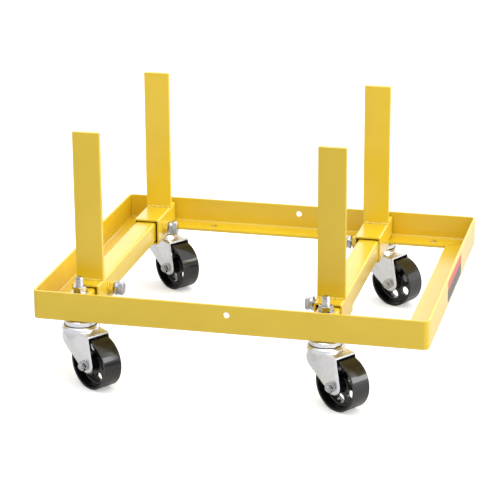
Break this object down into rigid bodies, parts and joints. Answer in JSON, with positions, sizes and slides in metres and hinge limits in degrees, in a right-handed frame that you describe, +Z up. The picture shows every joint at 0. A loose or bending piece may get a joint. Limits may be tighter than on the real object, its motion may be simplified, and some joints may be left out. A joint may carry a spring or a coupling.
{
  "type": "four-post cradle dolly",
  "caption": "Angle-iron frame on swivel casters with square crossbars, sliding sleeves that carry flat uprights, and side clamp screws; rolls and cradles a heavy load between its posts.",
  "frame": {"origin": "on the floor, under the centre of the rectangular frame", "axes": "+X along the long rails towards the end with the wider clear bay, +Y from the front rail to the back rail, +Z up"},
  "size_m": [0.5703, 0.5141, 0.3585],
  "materials": {
    "yellow_paint": "glossy sprayed enamel",
    "zinc": "bright zinc plate",
    "black_wheel": "glossy black paint",
    "label": "blank printed sticker"
  },
  "bodies": {
    "frame": {"front_rail": "yellow_paint", "back_rail": "yellow_paint", "left_rail": "yellow_paint", "right_rail": "yellow_paint", "corner_welds": "yellow_paint", "left_crossbar": "yellow_paint", "right_crossbar": "yellow_paint", "caster_stems": "zinc", "stem_washers": "zinc", "stem_nuts": "zinc", "upper_races": "zinc", "race_balls": "zinc", "side_label": "label"},
    "caster_fl": {"fork_fl": "zinc", "hub_bushing_fl": "zinc", "axle_bolt_fl": "zinc", "axle_nut_fl": "zinc"},
    "wheel_body_fl": {"wheel_fl": "black_wheel"},
    "sleeve_body_fl": {"sleeve_fl": "yellow_paint", "upright_fl": "yellow_paint", "weld_beads_fl": "yellow_paint", "clamp_nut_fl": "yellow_paint"},
    "washers_body_fl": {"clamp_washers_fl": "zinc"},
    "bolt_body_fl": {"clamp_bolt_fl": "zinc"},
    "caster_fr": {"fork_fr": "zinc", "hub_bushing_fr": "zinc", "axle_bolt_fr": "zinc", "axle_nut_fr": "zinc"},
    "wheel_body_fr": {"wheel_fr": "black_wheel"},
    "sleeve_body_fr": {"sleeve_fr": "yellow_paint", "upright_fr": "yellow_paint", "weld_beads_fr": "yellow_paint", "clamp_nut_fr": "yellow_paint"},
    "washers_body_fr": {"clamp_washers_fr": "zinc"},
    "bolt_body_fr": {"clamp_bolt_fr": "zinc"},
    "caster_bl": {"fork_bl": "zinc", "hub_bushing_bl": "zinc", "axle_bolt_bl": "zinc", "axle_nut_bl": "zinc"},
    "wheel_body_bl": {"wheel_bl": "black_wheel"},
    "sleeve_body_bl": {"sleeve_bl": "yellow_paint", "upright_bl": "yellow_paint", "weld_beads_bl": "yellow_paint", "clamp_nut_bl": "yellow_paint"},
    "washers_body_bl": {"clamp_washers_bl": "zinc"},
    "bolt_body_bl": {"clamp_bolt_bl": "zinc"},
    "caster_br": {"fork_br": "zinc", "hub_bushing_br": "zinc", "axle_bolt_br": "zinc", "axle_nut_br": "zinc"},
    "wheel_body_br": {"wheel_br": "black_wheel"},
    "sleeve_body_br": {"sleeve_br": "yellow_paint", "upright_br": "yellow_paint", "weld_beads_br": "yellow_paint", "clamp_nut_br": "yellow_paint"},
    "washers_body_br": {"clamp_washers_br": "zinc"},
    "bolt_body_br": {"clamp_bolt_br": "zinc"}
  },
  "joints": [
    {"name": "swivel_fl", "type": "hinge", "parent": "frame", "child": "caster_fl", "pos_m": [-0.221, -0.217, 0.088], "axis": [0, 0, 1], "continuous": true},
    {"name": "spin_fl", "type": "hinge", "parent": "caster_fl", "child": "wheel_body_fl", "pos_m": [-0.19281, -0.23601, 0.038], "axis": [0.5592, 0.829, 0], "continuous": true},
    {"name": "slide_fl", "type": "slide", "parent": "frame", "child": "sleeve_body_fl", "axis": [0, 1, 0], "range_m": [-0.0006, 0.1145]},
    {"name": "clamp_travel_fl", "type": "slide", "parent": "sleeve_body_fl", "child": "washers_body_fl", "axis": [1, 0, 0], "range_m": [0, 0.003]},
    {"name": "clamp_turn_fl", "type": "hinge", "parent": "washers_body_fl", "child": "bolt_body_fl", "pos_m": [-0.19955, -0.146, 0.1185], "axis": [1, 0, 0], "range_deg": [0, 720]},
    {"name": "swivel_fr", "type": "hinge", "parent": "frame", "child": "caster_fr", "pos_m": [0.137, -0.217, 0.088], "axis": [0, 0, 1], "continuous": true},
    {"name": "spin_fr", "type": "hinge", "parent": "caster_fr", "child": "wheel_body_fr", "pos_m": [0.16502, -0.23626, 0.038], "axis": [0.5664, 0.8241, 0], "continuous": true},
    {"name": "slide_fr", "type": "slide", "parent": "frame", "child": "sleeve_body_fr", "axis": [0, 1, 0], "range_m": [-0.0006, 0.1145]},
    {"name": "clamp_travel_fr", "type": "slide", "parent": "sleeve_body_fr", "child": "washers_body_fr", "axis": [-1, 0, 0], "range_m": [0, 0.003]},
    {"name": "clamp_turn_fr", "type": "hinge", "parent": "washers_body_fr", "child": "bolt_body_fr", "pos_m": [0.11555, -0.146, 0.1185], "axis": [-1, 0, 0], "range_deg": [0, 720]},
    {"name": "swivel_bl", "type": "hinge", "parent": "frame", "child": "caster_bl", "pos_m": [-0.221, 0.217, 0.088], "axis": [0, 0, 1], "continuous": true},
    {"name": "spin_bl", "type": "hinge", "parent": "caster_bl", "child": "wheel_body_bl", "pos_m": [-0.19349, 0.19701, 0.038], "axis": [0.5878, 0.809, 0], "continuous": true},
    {"name": "slide_bl", "type": "slide", "parent": "frame", "child": "sleeve_body_bl", "axis": [0, 1, 0], "range_m": [-0.1145, 0.0006]},
    {"name": "clamp_travel_bl", "type": "slide", "parent": "sleeve_body_bl", "child": "washers_body_bl", "axis": [1, 0, 0], "range_m": [0, 0.003]},
    {"name": "clamp_turn_bl", "type": "hinge", "parent": "washers_body_bl", "child": "bolt_body_bl", "pos_m": [-0.19955, 0.146, 0.1185], "axis": [1, 0, 0], "range_deg": [0, 720]},
    {"name": "swivel_br", "type": "hinge", "parent": "frame", "child": "caster_br", "pos_m": [0.137, 0.217, 0.088], "axis": [0, 0, 1], "continuous": true},
    {"name": "spin_br", "type": "hinge", "parent": "caster_br", "child": "wheel_body_br", "pos_m": [0.16702, 0.20104, 0.038], "axis": [0.4695, 0.8829, 0], "continuous": true},
    {"name": "slide_br", "type": "slide", "parent": "frame", "child": "sleeve_body_br", "axis": [0, 1, 0], "range_m": [-0.105, 0.0101]},
    {"name": "clamp_travel_br", "type": "slide", "parent": "sleeve_body_br", "child": "washers_body_br", "axis": [-1, 0, 0], "range_m": [0, 0.003]},
    {"name": "clamp_turn_br", "type": "hinge", "parent": "washers_body_br", "child": "bolt_body_br", "pos_m": [0.11555, 0.1365, 0.1185], "axis": [-1, 0, 0], "range_deg": [0, 720]}
  ],
  "couplings": [
    {"joint": "clamp_turn_fl", "follows": "clamp_travel_fl", "rad_per_m": 4188.8},
    {"joint": "clamp_turn_fr", "follows": "clamp_travel_fr", "rad_per_m": 4188.8},
    {"joint": "clamp_turn_bl", "follows": "clamp_travel_bl", "rad_per_m": 4188.8},
    {"joint": "clamp_turn_br", "follows": "clamp_travel_br", "rad_per_m": 4188.8}
  ]
}
